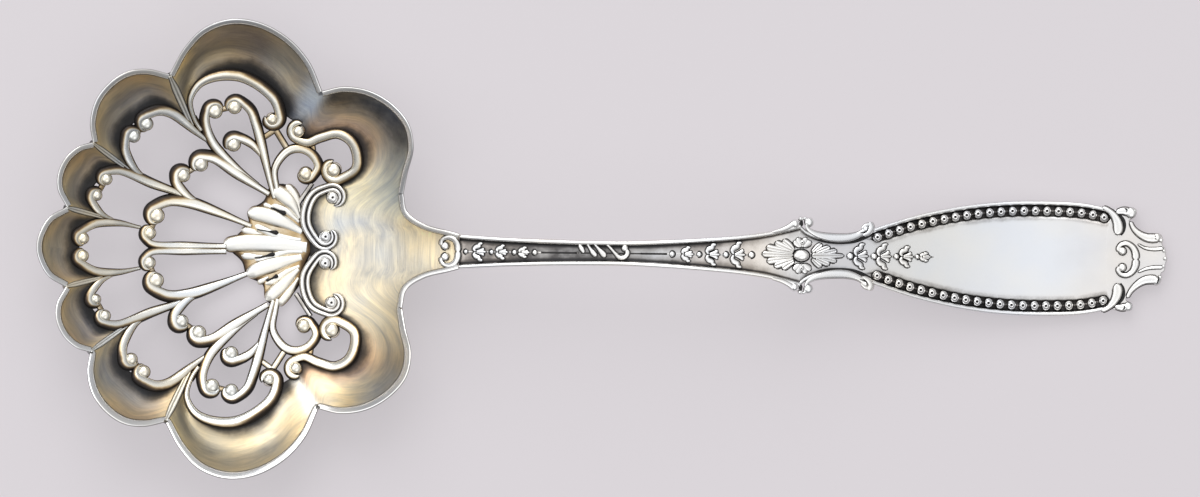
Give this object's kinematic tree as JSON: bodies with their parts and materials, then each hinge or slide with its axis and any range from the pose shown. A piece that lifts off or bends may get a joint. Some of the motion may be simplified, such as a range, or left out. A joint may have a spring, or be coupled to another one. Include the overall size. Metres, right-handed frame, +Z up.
{
  "type": "bonbon spoon",
  "caption": "Small serving spoon with a lobed, pierced scrollwork bowl, a slender arched stem and a broad handle edged with beading.",
  "frame": {"origin": "middle of the flat under the palmette, on which the bowl rests", "axes": "+X from the bowl to the end of the handle, +Z up out of the bowl, +Y to the right as the spoon is held with its bowl away from the holder"},
  "size_m": [0.14, 0.057, 0.0135],
  "materials": {
    "silver": "satin",
    "aged_silver": "satin",
    "gilt": "satin"
  },
  "bodies": {
    "root": {"palmette": "silver", "trefoil_rib_right": "silver", "trefoil_rib_left": "silver", "forked_rib_right": "silver", "forked_rib_left": "silver", "long_rib_right": "silver", "long_rib_left": "silver", "tip_rib": "silver", "lobe_scroll_right": "silver", "lobe_scroll_left": "silver", "s_scroll_right": "silver", "s_scroll_left": "silver", "heel_scroll_right": "silver", "heel_scroll_left": "silver", "bowl_shell": "gilt", "bowl_rim": "silver", "neck_scroll": "silver", "stem": "silver", "neck_husk_run": "silver", "stem_leaf_scroll": "silver", "stem_husk_run": "silver", "rosette": "silver", "handle_husk_run": "silver", "handle_plate": "aged_silver", "shoulder_scroll_right": "silver", "bead_row_right": "silver", "comma_leaf_right": "silver", "shoulder_scroll_left": "silver", "bead_row_left": "silver", "comma_leaf_left": "silver", "end_scroll": "silver", "crest": "silver"}
  },
  "joints": []
}
